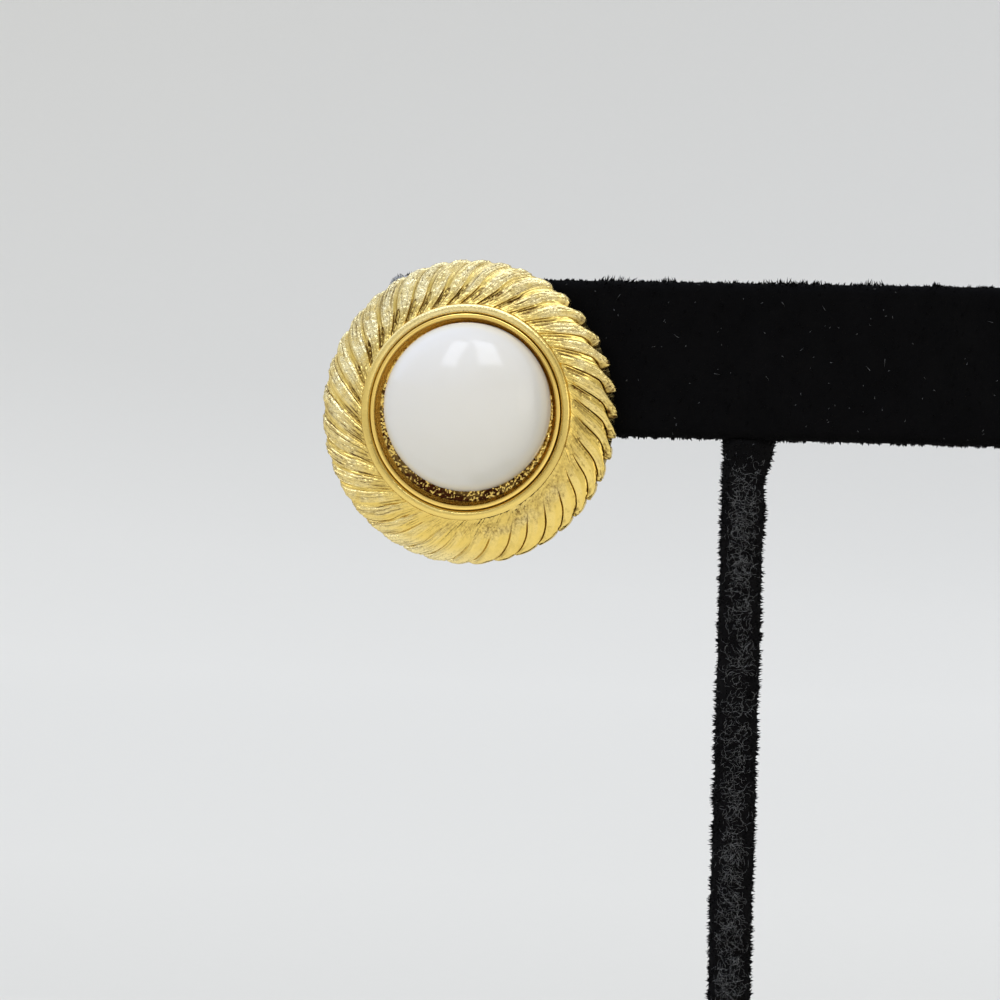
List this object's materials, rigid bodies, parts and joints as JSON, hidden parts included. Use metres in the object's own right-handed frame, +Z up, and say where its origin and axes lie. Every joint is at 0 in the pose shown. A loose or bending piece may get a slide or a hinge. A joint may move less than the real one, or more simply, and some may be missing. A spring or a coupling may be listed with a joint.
{
  "type": "clip-on earring on a velvet T-bar display stand",
  "caption": "Round clip-on earring with a fluted gold-tone band and a domed white stone, clipped on a plain velvet T-bar stand.",
  "frame": {"origin": "centre of the stand base's underside, below the post", "axes": "+Z up along the post, +X along the bar away from the earring, the earring faces -Y"},
  "size_m": [0.0911, 0.05, 0.1079],
  "materials": {
    "gold_plate": "polished gold plate with a stippled ground between the ribs",
    "gold_plate_cup": "polished gold plate, stippled on the floor",
    "gold_plate_clip": "satin gold plate",
    "white_stone": "glossy opaque white",
    "black_velvet": "black velvet with a short pile"
  },
  "bodies": {
    "root": {"fluted_frame": "gold_plate", "stone_cup": "gold_plate_cup", "cabochon": "white_stone", "ear_clip": "gold_plate_clip", "stand_bar": "black_velvet", "stand_post": "black_velvet", "stand_base": "black_velvet"}
  },
  "joints": []
}
